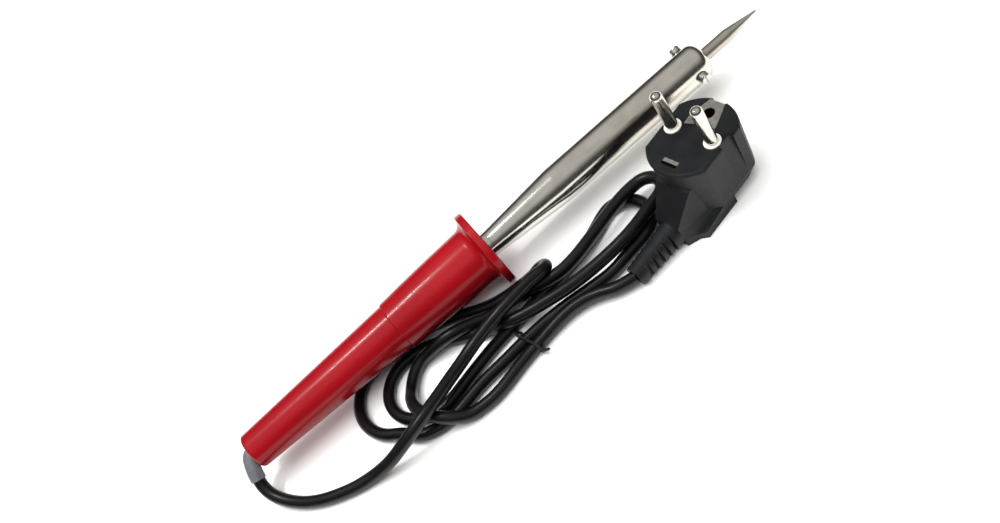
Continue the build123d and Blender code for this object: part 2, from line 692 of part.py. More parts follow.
def plug_outline(inset):
    disc = Pos(PLUG_FACE_OFFSET, 0) * Circle(PLUG_FACE_RADIUS - inset)
    return disc & Rectangle(3 * PLUG_FACE_RADIUS, 2 * (PLUG_HALF_WIDTH - inset))


def boot_place(distance, height):
    """A place on the boot's axis, that far from the boot's start."""
    turn = math.radians(BOOT_BEND)
    u = BOOT_START + distance * math.cos(turn)
    return (u, BOOT_OFFSET + distance * math.sin(turn), height)


def boot_radius(distance):
    fall = (BOOT_ROOT_RADIUS - BOOT_END_RADIUS) / BOOT_LENGTH
    return BOOT_ROOT_RADIUS - distance * fall


def boot_axis(distance):
    return boot_place(distance, boot_radius(distance))


def boot():
    """Tapered strain relief, moulded in one with the plug, with slots cut in from both sides."""
    start = boot_axis(0)
    end = boot_axis(BOOT_LENGTH)
    axis = Vector(*end) - Vector(*start)
    root = Plane(origin=start, z_dir=axis) * Circle(BOOT_ROOT_RADIUS)
    nose = Plane(origin=end, z_dir=axis) * Circle(BOOT_END_RADIUS)
    cone = loft([root, nose])
    for slot in range(BOOT_SLOTS):
        distance = BOOT_SLOT_START + BOOT_SLOT_PITCH * slot
        for side in (-1, 1):
            cut = Pos(0, side * (BOOT_SPINE + BOOT_ROOT_RADIUS / 2), 0) * Box(
                BOOT_SLOT_WIDTH, BOOT_ROOT_RADIUS, BOOT_SLOT_HEIGHT
            )
            cone -= Pos(*boot_axis(distance)) * Rot(0, 0, BOOT_BEND) * cut
    return cone


def mirrored(half):
    """Closed outline from the points on one side of the plug's middle line."""
    other = [(u, -v) for u, v in reversed(half)]
    return make_face(Polyline(*half, *other, close=True))


def shoulder():
    """Slope from the face block down to the boot, on a foot that keeps its width further back."""
    foot = mirrored(FOOT_OUTLINE)
    side = mirrored(SIDE_OUTLINE)
    solid = extrude(foot, FOOT_HEIGHT)
    solid += loft([Pos(0, 0, FOOT_HEIGHT) * foot, Pos(0, 0, SIDE_HEIGHT) * side], ruled=True)
    solid += Pos(0, 0, SIDE_HEIGHT) * extrude(side, PLUG_HEIGHT - SIDE_HEIGHT)
    end = SHOULDER_END[0]
    slope = make_face(
        Polyline(
            (SHOULDER_START, 0), (end, 0), SHOULDER_END, SHOULDER_MIDDLE,
            (SHOULDER_START, PLUG_HEIGHT - SHOULDER_DROP), close=True,
        )
    )
    wide = PLUG_HALF_WIDTH
    return solid & (Pos(0, wide, 0) * Rot(90, 0, 0) * extrude(slope, 2 * wide))


def plug_body():
    """Angled plug: a drafted face block on a bevelled base, with grooves, a shoulder and the boot."""
    face = Pos(0, 0, PLUG_HEIGHT) * plug_outline(0)
    waist = Pos(0, 0, BASE_BEVEL_HEIGHT) * plug_outline(PLUG_INSET)
    back = plug_outline(PLUG_INSET + BASE_BEVEL_INSET)
    body = loft([waist, face])
    body = fillet(body.faces().sort_by(Axis.Z)[-1].edges(), PLUG_ROUNDING)
    base = loft([back, waist])
    body += fillet(base.faces().sort_by(Axis.Z)[0].edges(), PLUG_BACK_ROUNDING)
    body += shoulder()
    body += boot()
    groove = Box(GROOVE_WIDTH, 2 * (GROOVE_DEPTH + 2), GROOVE_HEIGHT)
    for side in (-1, 1):
        y = side * (PLUG_HALF_WIDTH + 2)
        body -= Pos(GROOVE_OFFSET, y, PLUG_HEIGHT - GROOVE_HEIGHT / 2) * groove
    leaf = EARTH_LEAF_HALF_WIDTH
    body -= block(-2 * PLUG_FACE_RADIUS, EARTH_LEAF_U, -leaf, leaf, EARTH_BAR_HEIGHT, PLUG_HEIGHT + 1)
    recess = EARTH_CLIP_U + EARTH_CLIP_THICKNESS
    body -= block(recess, recess + CLIP_RECESS, -leaf, leaf, CLIP_RECESS_BASE, PLUG_HEIGHT + 1)
    body -= earth_strip_shape()
    body -= pin_carrier_shape()
    tube_start = PLUG_HEIGHT - EARTH_DEPTH
    body -= upright(-EARTH_OFFSET, 0, tube_start, PLUG_HEIGHT + 1, EARTH_RADIUS + EARTH_TUBE_WALL)
    body -= plug_cord_end_shape()
    for side in (-1, 1):
        body -= plug_core_shape(side)
    return on_plug(body)


def pin_carrier_shape():
    """White insulating carrier with a collar round each pin that stands above the face."""
    middle = CARRIER_BASE + CARRIER_HEIGHT / 2
    carrier = Pos(0, 0, middle) * Box(CARRIER_LENGTH, CARRIER_WIDTH, CARRIER_HEIGHT)
    for side in (-1, 1):
        y = side * PIN_SPACING / 2
        carrier += upright(0, y, CARRIER_BASE, PLUG_HEIGHT + PIN_COLLAR_PROUD, PIN_COLLAR_RADIUS)
    return carrier


def pin_carrier():
    carrier = pin_carrier_shape()
    for side in (-1, 1):
        carrier -= upright(0, side * PIN_SPACING / 2, 0, PLUG_HEIGHT + PIN_LENGTH, PIN_ROOT_RADIUS)
    return on_plug(carrier)


def plug_pin(side):
    """Round pin with a domed end and a thinner root held in the carrier."""
    y = side * PIN_SPACING / 2
    pin = upright(0, y, PLUG_HEIGHT + PIN_NECK, PLUG_HEIGHT + PIN_LENGTH, PIN_RADIUS)
    pin = fillet(pin.edges().sort_by(Axis.Z)[-1:], PIN_DOME)
    pin += upright(0, y, PIN_ROOT, PLUG_HEIGHT + PIN_NECK, PIN_ROOT_RADIUS)
    return on_plug(pin)


def earth_strip_shape():
    """Bent earth strip: the plate round the socket hole, a leaf down each side and a bar below."""
    low = EARTH_LEAF_HALF_WIDTH
    plate = make_face(
        Polyline(
            (-2.8, -6.4), (-5.8, -6.6), (-12.4, -4.6), (EARTH_LEAF_U, -low), (EARTH_LEAF_U, low),
            (-12.4, 4.6), (-5.8, 6.6), (-2.8, 6.4), (-4.6, 0), close=True,
        )
    )
    strip = Pos(0, 0, PLATE_TOP - EARTH_PLATE_THICKNESS) * extrude(plate, EARTH_PLATE_THICKNESS)
    leaf_end = EARTH_LEAF_U + EARTH_PLATE_THICKNESS
    strip += block(EARTH_LEAF_U, leaf_end, -low, low, EARTH_BAR_HEIGHT, PLATE_TOP)
    clip_end = EARTH_CLIP_U + EARTH_CLIP_THICKNESS
    strip += block(EARTH_CLIP_U, clip_end, -low, low, EARTH_BAR_HEIGHT, PLATE_TOP)
    half = EARTH_BAR_HALF_WIDTH
    bar_top = EARTH_BAR_HEIGHT + EARTH_BAR_THICKNESS
    strip += block(EARTH_LEAF_U, clip_end, -half, half, EARTH_BAR_HEIGHT, bar_top)
    return strip


def earth_strip():
    hole = upright(-EARTH_OFFSET, 0, PLATE_TOP - 2 * EARTH_PLATE_THICKNESS, PLATE_TOP + 1, EARTH_RADIUS)
    return on_plug(earth_strip_shape() - hole)


def earth_socket():
    """Tube under the plate that takes the socket outlet's earth pin."""
    z0 = PLUG_HEIGHT - EARTH_DEPTH
    z1 = PLATE_TOP - EARTH_PLATE_THICKNESS
    tube = upright(-EARTH_OFFSET, 0, z0, z1, EARTH_RADIUS + EARTH_TUBE_WALL)
    return on_plug(tube - upright(-EARTH_OFFSET, 0, z0 - 1, z1 + 1, EARTH_RADIUS))


def plug_cord_end_shape():
    """The cord inside the boot, up to where its jacket stops in the plug."""
    return swept([boot_axis(PLUG_CORD_START), boot_axis(BOOT_LENGTH)], CORD_RADIUS)


def plug_core_shape(side):
    """Core from the cord's end to the foot of a pin."""
    cord_end = boot_axis(PLUG_CORD_START)
    start = (cord_end[0] - PLUG_CORE_LEAD, cord_end[1] + side * PLUG_CORE_SPREAD, cord_end[2])
    foot = (PLUG_CORE_FOOT, side * PIN_SPACING / 2, CARRIER_BASE - PLUG_CORE_DROP)
    return swept([foot, start], PLUG_CORE_RADIUS)


def parts():
    """Every piece of the object by the name of its node."""
    iron = {
        "handle_front_shell": handle_front_shell(),
        "handle_rear_shell": handle_rear_shell(),
        "handle_screw": handle_screw(),
        "barrel_tube": barrel_tube(),
        "neck_plate": neck_plate(),
        "neck_plate_screws": neck_plate_screws(),
        "bit_collar": bit_collar(),
        "core_tube": core_tube(),
        "inner_mica": inner_mica(),
        "heater_winding": heater_winding(),
        "outer_mica": outer_mica(),
        "rear_ceramic_washer": rear_ceramic_washer(),
        "front_ceramic_washer": ceramic_washer(X_HEATER_END),
        "heater_lead_live": heater_lead(1),
        "heater_lead_neutral": heater_lead(-1),
        "lead_sleeves": lead_sleeves(),
        "terminal_block": terminal_block(),
        "terminal_screws": terminal_screws(),
        "cord_core_live": cord_core(1),
        "cord_core_neutral": cord_core(-1),
        "earth_band": earth_band(),
        "earth_core": earth_core(),
        "cord_clamp_bar": cord_clamp_bar(),
        "cord_clamp_screws": cord_clamp_screws(),
        "tip": tip(),
    }
    for name, angle in BIT_SCREW_ANGLES.items():
        iron[name] = bit_screw(angle)
    nodes = {name: Pos(0, 0, AXIS_HEIGHT) * shape for name, shape in iron.items()}
    ends = [boot_axis(BOOT_LENGTH + TAIL_END_RUN), boot_axis(BOOT_LENGTH)]
    tail = TAIL_ROUTE + [tuple(on_plug(Pos(*place)).position) for place in ends]
    nodes.update(
        {
            "strain_relief_sleeve": strain_relief_sleeve(),
            "cord_entry": cord_entry(),
            "cord_run": swept(RUN_ROUTE, CORD_RADIUS, name="cord_run"),
            "cord_hank": cord_hank(),
            "cord_tie": tie_loop(),
            "cord_tail": swept(tail, CORD_RADIUS, name="cord_tail"),
            "plug_body": plug_body(),
            "pin_carrier": pin_carrier(),
            "plug_pin_live": plug_pin(1),
            "plug_pin_neutral": plug_pin(-1),
            "earth_strip": earth_strip(),
            "earth_socket": earth_socket(),
            "plug_cord_end": on_plug(plug_cord_end_shape()),
            "plug_core_live": on_plug(plug_core_shape(1)),
            "plug_core_neutral": on_plug(plug_core_shape(-1)),
        }
    )
    return nodes


os.makedirs("parts", exist_ok=True)
for node_name, node_shape in parts().items():
    export_step(node_shape, f"parts/{node_name}.step")
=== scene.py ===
import math

import bpy
from mathutils import Matrix, Vector


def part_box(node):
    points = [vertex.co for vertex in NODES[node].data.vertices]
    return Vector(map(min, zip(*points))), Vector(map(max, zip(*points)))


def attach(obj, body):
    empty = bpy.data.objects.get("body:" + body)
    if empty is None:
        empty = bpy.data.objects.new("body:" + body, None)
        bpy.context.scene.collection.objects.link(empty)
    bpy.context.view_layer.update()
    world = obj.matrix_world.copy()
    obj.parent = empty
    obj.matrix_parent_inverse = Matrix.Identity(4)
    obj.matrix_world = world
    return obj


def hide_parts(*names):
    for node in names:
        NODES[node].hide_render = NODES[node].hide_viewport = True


# Soldering iron: red moulded handle, plated heater barrel and bit, black flex folded into a
# tied hank, and an angled plug. Sizes are in millimetres and turned to metres where they are
# used, apart from the lights and the floor, which are in metres.

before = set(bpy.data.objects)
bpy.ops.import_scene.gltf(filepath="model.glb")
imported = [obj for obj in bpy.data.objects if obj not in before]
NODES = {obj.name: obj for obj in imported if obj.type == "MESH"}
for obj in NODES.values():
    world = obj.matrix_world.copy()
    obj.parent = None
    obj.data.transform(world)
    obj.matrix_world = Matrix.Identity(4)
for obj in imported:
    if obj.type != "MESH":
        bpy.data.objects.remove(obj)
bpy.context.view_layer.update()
MM = 0.001


def in_mm(name):
    """A CAD node's lowest and highest corners in millimetres."""
    low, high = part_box(name)
    return [v / MM for v in low], [v / MM for v in high]


_, (X_FLANGE, FLANGE_RADIUS, _) = in_mm("handle_front_shell")
_, (X_NOSE, _, _) = in_mm("barrel_tube")
_, (X_POINT, _, _) = in_mm("tip")

CORD_RADIUS = 2.6
SLEEVE_RADIUS = 3.2
SLEEVE_LENGTH = 26.6

TIE_WIRE_RADIUS = 0.34
TIE_SPREAD = 0.32
TIE_TWISTS = 30
TIE_STEPS = 240
# The tie's line, from its outer end over the hank, back underneath and out again.
TIE_LOOP = [
    (-17.6, -46.9, 2.0), (-18.9, -46.0, 3.6), (-19.4, -44.2, 5.6), (-20.6, -41.0, 6.0),
    (-22.0, -37.2, 6.0), (-22.6, -34.4, 5.0), (-22.4, -32.0, 3.0), (-21.4, -30.6, 1.0),
    (-20.4, -34.0, 0.7), (-19.8, -40.0, 0.7), (-19.0, -45.2, 0.8), (-18.6, -46.6, 2.6),
    (-16.6, -48.2, 3.0),
]

WAVE_BANDS = 20  # bands that a wave texture draws in one unit of its scale

CAMERA_PLACE = (-8.95, -328.0, 342.0)
CAMERA_DOWN = 45.7
CAMERA_ROLL = 41.3
CAMERA_LENS = 42.4
CAMERA_CLIP = 10.0
FLOOR_REACH = 2.5
FLOOR_DROP = 0.0002
FLOOR_CLOUD = 60.0
SKY_STRENGTH = 0.75


# ---- colours, nodes and materials ----
def srgb(hex_colour):
    """A hex colour as the linear values that a shader takes."""
    linear = []
    for start in (1, 3, 5):
        value = int(hex_colour[start:start + 2], 16) / 255
        linear.append(value / 12.92 if value <= 0.04045 else ((value + 0.055) / 1.055) ** 2.4)
    return (*linear, 1.0)


def add(tree, kind, inputs=None, feeds=None, stops=(), **settings):
    """Adds a node with its settings. An input is a value, or a node or socket to link. The
    node's first output goes to the socket feeds. A ramp's stops are (place, hex colour)."""
    made = tree.nodes.new(kind)
    for name, value in settings.items():
        setattr(made, name, value)
    for socket, value in (inputs or {}).items():
        if isinstance(value, bpy.types.Node):
            value = value.outputs[0]
        if isinstance(value, bpy.types.NodeSocket):
            tree.links.new(value, made.inputs[socket])
        else:
            made.inputs[socket].default_value = value
    if stops:
        elements = made.color_ramp.elements
        while len(elements) < len(stops):
            elements.new(0.5)
        for element, (where, colour) in zip(elements, stops):
            element.position = where
            element.color = srgb(colour)
    if feeds:
        tree.links.new(made.outputs[0], feeds)
    return made


def finish_named(name, **sockets):
    """A new material; sockets are the shader's own constant inputs, with _ for a space."""
    material = bpy.data.materials.new(name)
    material.use_nodes = True
    shader = material.node_tree.nodes["Principled BSDF"]
    for socket, value in sockets.items():
        shader.inputs[socket.replace("_", " ")].default_value = value
    return material, material.node_tree, shader


def at_size(tree, size_mm, stretch=(1, 1, 1), **inputs):
    """A texture's inputs for a pattern of that size, finer along an axis that is stretched."""
    coordinates = add(tree, "ShaderNodeTexCoord")
    mapping = add(tree, "ShaderNodeMapping", {"Vector": coordinates.outputs["Object"], "Scale": stretch})
    return {"Vector": mapping, "Scale": 1.0 / (size_mm * MM), **inputs}


def share_along(tree, start_mm, end_mm):
    """How far a point lies between two places along the iron, from 0 to 1."""
    coordinates = add(tree, "ShaderNodeTexCoord")
    mapping = add(tree, "ShaderNodeMapping", {"Vector": coordinates.outputs["Object"]})
    position = add(tree, "ShaderNodeSeparateXYZ", {"Vector": mapping})
    span = {"Value": position.outputs["X"], "From Min": start_mm * MM, "From Max": end_mm * MM}
    return add(tree, "ShaderNodeMapRange", span)


def surface(tree, shader, pattern, smoothness, depth_mm):
    """One pattern sets the roughness between two values and raises the surface by its depth."""
    low, high = smoothness
    spread = {"Value": pattern, "To Min": low, "To Max": high}
    add(tree, "ShaderNodeMapRange", spread, shader.inputs["Roughness"])
    height = {"Height": pattern, "Distance": depth_mm * MM, "Strength": 1.0}
    add(tree, "ShaderNodeBump", height, shader.inputs["Normal"])


def moulded_red():
    """Moulded polypropylene: glossy, with faint orange peel and slow swirls of pigment."""
    material, tree, shader = finish_named(
        "moulded_red_plastic",
        IOR=1.49, Specular_IOR_Level=0.2, Coat_Weight=0.08, Coat_Roughness=0.05,
    )
    swirls = add(tree, "ShaderNodeTexNoise", at_size(tree, 14.0, (0.35, 1, 1), Detail=3.0))
    pigment = [(0.3, "#7E0711"), (0.55, "#8A0913"), (0.75, "#930B16")]
    add(tree, "ShaderNodeValToRGB", {"Fac": swirls}, shader.inputs["Base Color"], pigment)
    flow = add(tree, "ShaderNodeTexNoise", at_size(tree, 2.2, Detail=3.0))
    spread = {"Value": flow, "To Min": 0.17, "To Max": 0.31}
    add(tree, "ShaderNodeMapRange", spread, shader.inputs["Roughness"])
    peel = add(tree, "ShaderNodeTexNoise", at_size(tree, 1.6, Detail=3.0))
    peeled = add(tree, "ShaderNodeBump", {"Height": peel, "Distance": 0.012 * MM, "Strength": 1.0})
    marks = add(tree, "ShaderNodeTexNoise", at_size(tree, 0.35, Detail=3.0))
    height = {"Height": marks, "Distance": 0.0025 * MM, "Strength": 1.0, "Normal": peeled}
    add(tree, "ShaderNodeBump", height, shader.inputs["Normal"])
    return material


def polished_nickel():
    """Nickel on drawn tube: bright, with turned polishing lines and a straw tint where it is hot."""
    material, tree, shader = finish_named("polished_nickel_plate", Metallic=1.0)
    heat = [(0.0, "#DEDBD5"), (0.35, "#DDD9D1"), (0.7, "#DAD4C8"), (1.0, "#DDD8CF")]
    along = share_along(tree, X_FLANGE, X_NOSE)
    tint = add(tree, "ShaderNodeValToRGB", {"Fac": along}, stops=heat)
    blotches = at_size(tree, 5.0, (0.5, 1, 1), Detail=5.0, Roughness=0.6)
    stained = {"Fac": add(tree, "ShaderNodeTexNoise", blotches)}
    stains = add(tree, "ShaderNodeValToRGB", stained, stops=[(0.35, "#D2CEC6"), (0.6, "#FFFFFF")])
    # The mix node's colour sockets share their names with its other kinds, so they go by number.
    factor, first, second, result = 0, 6, 7, 2
    inputs = {factor: 0.35, first: tint, second: stains}
    worn = add(tree, "ShaderNodeMix", inputs, data_type="RGBA", blend_type="MULTIPLY")
    tree.links.new(worn.outputs[result], shader.inputs["Base Color"])
    lines = add(tree, "ShaderNodeTexNoise", at_size(tree, 9.0, (40, 1, 1), Detail=2.0))
    surface(tree, shader, lines, (0.1, 0.24), 0.0012)
    return material


def satin_plate():
    """Iron-plated copper of the bit: satin, a little darker and browner at the hot point."""
    material, tree, shader = finish_named("satin_iron_plate", Metallic=1.0)
    heat = [(0.0, "#B9B3A6"), (0.5, "#C4BFB2"), (0.9, "#CFCBC0"), (1.0, "#A79F90")]
    along = share_along(tree, X_NOSE, X_POINT)
    add(tree, "ShaderNodeValToRGB", {"Fac": along}, shader.inputs["Base Color"], heat)
    lines = add(tree, "ShaderNodeTexNoise", at_size(tree, 3.0, (14, 1, 1), Detail=3.0))
    surface(tree, shader, lines, (0.26, 0.42), 0.003)
    return material


def bright_metal(name, dark, light, smoothness, line_mm):
    """Plated or bare metal: small stains in its colour and fine scratches in its gloss."""
    material, tree, shader = finish_named(name, Metallic=1.0)
    stains = add(tree, "ShaderNodeTexNoise", at_size(tree, 1.8, Detail=4.0))
    colours = [(0.3, dark), (0.7, light)]
    add(tree, "ShaderNodeValToRGB", {"Fac": stains}, shader.inputs["Base Color"], colours)
    fine = at_size(tree, line_mm, (3, 1, 1), Detail=4.0, Roughness=0.6)
    scratches = add(tree, "ShaderNodeTexNoise", fine)
    surface(tree, shader, scratches, smoothness, 0.002)
    return material


def soft_pvc(name, dark, light, smoothness, grain_mm, depth_mm, **sockets):
    """Soft PVC: even colour with slow cloudiness, and the tool's or the die's fine texture."""
    material, tree, shader = finish_named(name, IOR=1.53, **sockets)
    clouds = add(tree, "ShaderNodeTexNoise", at_size(tree, 7.0, Detail=3.0))
    colours = [(0.35, dark), (0.7, light)]
    add(tree, "ShaderNodeValToRGB", {"Fac": clouds}, shader.inputs["Base Color"], colours)
    grain = add(tree, "ShaderNodeTexNoise", at_size(tree, grain_mm, Detail=5.0, Roughness=0.65))
    surface(tree, shader, grain, smoothness, depth_mm)
    return material


def hard_dielectric(name, dark, light, smoothness, grain_mm, **sockets):
    """Fired or moulded insulator with a small mottle."""
    material, tree, shader = finish_named(name, **sockets)
    mottle = add(tree, "ShaderNodeTexNoise", at_size(tree, grain_mm, Detail=4.0))
    colours = [(0.3, dark), (0.7, light)]
    add(tree, "ShaderNodeValToRGB", {"Fac": mottle}, shader.inputs["Base Color"], colours)
    surface(tree, shader, mottle, smoothness, 0.01)
    return material


def wound_wire():
    """Resistance wire wound side by side: one thread every 0.6 mm along the iron, with painted shade in
    the grooves between turns.
    """
    material, tree, shader = finish_named("wound_nichrome_wire", Metallic=1.0)
    winding = at_size(tree, 0.6 * WAVE_BANDS, Distortion=0.0)
    wave = add(tree, "ShaderNodeTexWave", winding, wave_type="BANDS", bands_direction="X")
    turns = wave.outputs["Fac"]
    # Painted shade: the colour is darker in the grooves between turns and lighter on their crests.
    colours = [(0.0, "#3A3733"), (0.6, "#8F8A80")]
    add(tree, "ShaderNodeValToRGB", {"Fac": turns}, shader.inputs["Base Color"], colours)
    surface(tree, shader, turns, (0.5, 0.3), 0.15)
    return material


def woven_sleeve():
    """Braided glass fibre: a fine crossed weave, 0.8 mm from strand to strand."""
    material, tree, shader = finish_named("braided_glass_sleeve", IOR=1.5, Roughness=0.7)
    strands = add(tree, "ShaderNodeTexVoronoi", at_size(tree, 0.8, Randomness=0.2))
    colours = [(0.0, "#EFECE2"), (0.8, "#C8C2B2")]
    add(tree, "ShaderNodeValToRGB", {"Fac": strands}, shader.inputs["Base Color"], colours)
    height = {"Height": strands, "Distance": 0.1 * MM, "Strength": 1.0}
    add(tree, "ShaderNodeBump", height, shader.inputs["Normal"])
    return material


RED = moulded_red()
NICKEL = polished_nickel()
BIT_PLATE = satin_plate()

# Zinc plate on screw steel: a cool grey, brushed rather than mirror bright.
ZINC = bright_metal("zinc_plated_screw_steel", "#B5B4AF", "#DCDBD6", (0.22, 0.4), 0.6)
# Nickel plate on turned brass: warm and nearly mirror bright, with light rubbing marks.
PIN_NICKEL = bright_metal("nickel_plated_brass", "#C3BEB1", "#E4E0D5", (0.12, 0.26), 0.8)
# Tinned strip: a dull silver with drawn lines.
EARTH_STEEL = bright_metal("bright_tinned_strip", "#A9A7A0", "#CBC8C0", (0.3, 0.46), 1.0)
# Turned mild steel: darker grey with tool lines.
TURNED_STEEL = bright_metal("turned_mild_steel", "#8E8C88", "#B9B7B2", (0.3, 0.45), 0.5)
# Plain turned brass: yellow, a little uneven.
BRASS = bright_metal("plain_brass", "#B08A3E", "#D1AC5C", (0.22, 0.38), 0.7)

# Extruded flex: near black, smooth, with a soft sheen.
CORD_PVC = soft_pvc(
    "extruded_black_pvc", "#050506", "#0C0C0E", (0.28, 0.38), 0.5, 0.008, Specular_IOR_Level=0.3,
)
# Moulded plug: charcoal and dull, with a spark-eroded grain.
PLUG_PVC = soft_pvc(
    "moulded_charcoal_pvc", "#08090B", "#111315", (0.48, 0.66), 0.9, 0.09, Specular_IOR_Level=0.35,
)
# Plastic coat on the tie's wires: black with a dull sheen.
TIE_PVC = soft_pvc("black_coated_tie_wire", "#0A0A0A", "#161616", (0.4, 0.55), 0.4, 0.01)
# Thin clear tube over the flex: grey and slightly see-through, with a wet gloss.
SLEEVE_PVC = soft_pvc(
    "clear_grey_pvc_tube", "#686A6E", "#83858A", (0.25, 0.38), 0.8, 0.01, Transmission_Weight=0.35,
)
# Core insulation inside the handle and the plug, in the three mains colours.
BROWN_CORE = soft_pvc("brown_core_pvc", "#4A2A17", "#5C3620", (0.35, 0.5), 0.5, 0.01)
BLUE_CORE = soft_pvc("blue_core_pvc", "#1D4E96", "#275FB0", (0.35, 0.5), 0.5, 0.01)
EARTH_CORE = soft_pvc("green_yellow_core_pvc", "#2E7A35", "#E2C927", (0.35, 0.5), 0.5, 0.01)

# Moulded nylon: off white with a satin skin.
CARRIER_NYLON = hard_dielectric("natural_nylon", "#DAD7CD", "#EFEDE6", (0.35, 0.5), 0.8, IOR=1.53)
# Fired steatite: a chalky cream.
CERAMIC = hard_dielectric("fired_steatite", "#E2DCCF", "#F1EDE4", (0.55, 0.75), 0.5, IOR=1.6)
# Split mica: brown flakes in glossy layers.
MICA = hard_dielectric("layered_mica", "#8B7350", "#B79F78", (0.2, 0.45), 3.0, IOR=1.58)

GLASS_BRAID = woven_sleeve()
NICHROME = wound_wire()

FINISHES = {
    RED: ["handle_front_shell", "handle_rear_shell"],
    NICKEL: ["barrel_tube"],
    BIT_PLATE: ["tip"],
    ZINC: [
        "tip_screw_near", "tip_screw_far", "handle_screw", "neck_plate_screws",
        "terminal_screws", "cord_clamp_screws",
    ],
    TURNED_STEEL: ["neck_plate", "bit_collar", "core_tube", "earth_band", "cord_clamp_bar"],
    BRASS: ["terminal_block", "earth_socket"],
    PIN_NICKEL: ["plug_pin_live", "plug_pin_neutral"],
    EARTH_STEEL: ["earth_strip"],
    PLUG_PVC: ["plug_body"],
    CARRIER_NYLON: ["pin_carrier"],
    CORD_PVC: ["cord_entry", "cord_run", "cord_hank", "cord_tail", "plug_cord_end"],
    SLEEVE_PVC: ["strain_relief_sleeve"],
    TIE_PVC: ["cord_tie"],
    CERAMIC: ["rear_ceramic_washer", "front_ceramic_washer"],
    MICA: ["inner_mica", "outer_mica"],
    NICHROME: ["heater_winding", "heater_lead_live", "heater_lead_neutral"],
    GLASS_BRAID: ["lead_sleeves"],
    BROWN_CORE: ["cord_core_live", "plug_core_live"],
    BLUE_CORE: ["cord_core_neutral", "plug_core_neutral"],
    EARTH_CORE: ["earth_core"],
}


def give_finishes():
    """Every CAD piece gets its own finish in place of the plain colour that it was packed with."""
    for material, names in FINISHES.items():
        for name in names:
            for slot in NODES[name].material_slots:
                slot.material = material


# ---- cord ----
# The cord's line, in the order that it runs. Its ends in the hank are worked out by bend.
SLEEVE_POINTS = [
    (-116.25, 0, 17.1), (-129.5, 0, 17.1), (-133.0, -0.4, 16.9), (-135.2, -3.8, 13.6),
    (-136.2, -6.0, 11.2),
]
RUN_POINTS = [
    (-137.0, -8.8, 8.2), (-136.4, -12.4, 6.0), (-134.4, -16.4, 4.4), (-131.0, -20.9, 3.2),
    (-126.2, -25.8, 2.6), (-120.1, -30.3, 2.6), (-113.6, -33.6, 2.6), (-106.0, -36.6, 2.6),
    (-97.5, -38.8, 3.4), (-89.5, -41.2, 6.2),
]
OVER_LOOPS = [
    (-81.6, -42.2, 9.6), (-74.2, -42.2, 12.3), (-67.0, -40.6, 13.0), (-59.8, -37.4, 12.0),
    (-52.8, -33.5, 10.4), (-45.4, -30.2, 9.4), (-38.2, -28.0, 9.8), (-31.2, -27.2, 11.2),
    (-24.8, -27.0, 12.6), (-18.5, -26.4, 13.2), (-11.9, -25.6, 13.2), (-5.2, -24.8, 13.2),
]
UNDER_HANDLE = [
    (-9.2, -17.4, 5.6), (-15.5, -14.6, 3.4), (-22.6, -12.0, 2.6), (-28.5, -8.6, 2.6),
    (-34.5, -4.6, 2.6), (-43.0, 0.0, 2.6), (-54.0, 3.6, 2.6), (-65.0, 4.6, 2.6),
]
MIDDLE_LEG = [
    (-76.5, -36.6, 2.6), (-72.3, -39.9, 2.6), (-65.6, -42.0, 2.6), (-58.1, -41.8, 2.6),
    (-49.2, -39.9, 2.6), (-42.5, -38.7, 2.6), (-33.0, -38.3, 2.6), (-22.1, -37.2, 2.6),
    (-11.0, -36.9, 2.6), (0.0, -37.6, 2.6), (10.4, -39.2, 2.6), (20.5, -40.6, 2.8),
    (29.0, -39.8, 4.2),
]
FIRST_LEG = [
    (25.0, -19.0, 2.6), (16.0, -22.2, 2.6), (6.0, -24.4, 2.6), (-4.0, -25.2, 2.6),
    (-13.0, -26.4, 2.6), (-22.3, -27.8, 2.6), (-31.0, -28.9, 2.6), (-40.0, -30.8, 2.6),
    (-49.0, -33.0, 2.6), (-56.3, -35.0, 2.6), (-63.5, -35.8, 2.6),
]
SECOND_LEG = [
    (-57.0, -4.4, 2.6), (-50.5, -7.2, 2.6), (-43.6, -11.6, 2.6), (-36.6, -16.3, 2.6),
    (-30.4, -20.6, 3.2), (-25.8, -24.6, 5.6), (-21.4, -28.9, 7.8), (-15.0, -31.4, 7.8),
    (-6.6, -33.5, 7.8), (3.6, -35.8, 7.8), (13.7, -36.8, 7.9), (23.9, -37.4, 8.6),
    (34.0, -37.6, 9.9), (42.0, -35.4, 9.6),
]
THIRD_LEG = [
    (44.0, -18.7, 7.8), (35.1, -20.7, 7.8), (24.5, -23.8, 7.8), (14.1, -26.6, 7.8),
    (5.6, -27.4, 7.8), (-2.0, -25.4, 7.8), (-8.8, -22.2, 6.6), (-14.6, -19.6, 4.2),
    (-20.5, -17.4, 2.8), (-26.4, -15.9, 3.0), (-32.6, -15.0, 5.4), (-39.2, -14.6, 7.8),
    (-46.0, -13.2, 7.8), (-52.2, -11.4, 5.6),
]
TO_PLUG = [
    (-42.0, -47.9, 2.6), (-35.3, -46.4, 2.6), (-28.7, -44.6, 2.6), (-22.0, -43.2, 2.6),
    (-14.0, -42.0, 2.9), (-5.0, -41.2, 3.8), (3.0, -41.8, 4.3), (11.0, -44.6, 4.3),
    (17.6, -49.4, 4.3), (24.99, -50.66, 4.3),
]


def bend(centre, radii, start, end, heights, hump=None, steps=8):
    """Places round one end of the hank, on an ellipse; a hump is (where, half width, rise)."""
    places = []
    for step in range(steps + 1):
        share = step / steps
        angle = start + share * (end - start)
        height = heights[0] + share * (heights[1] - heights[0])
        if hump:
            where, half_width, rise = hump
            height += rise * max(0.0, 1 - ((angle - where) / half_width) ** 2)
        x = centre[0] + radii[0] * math.cos(math.radians(angle))
        y = centre[1] + radii[1] * math.sin(math.radians(angle))
        places.append((x, y, height))
    return places


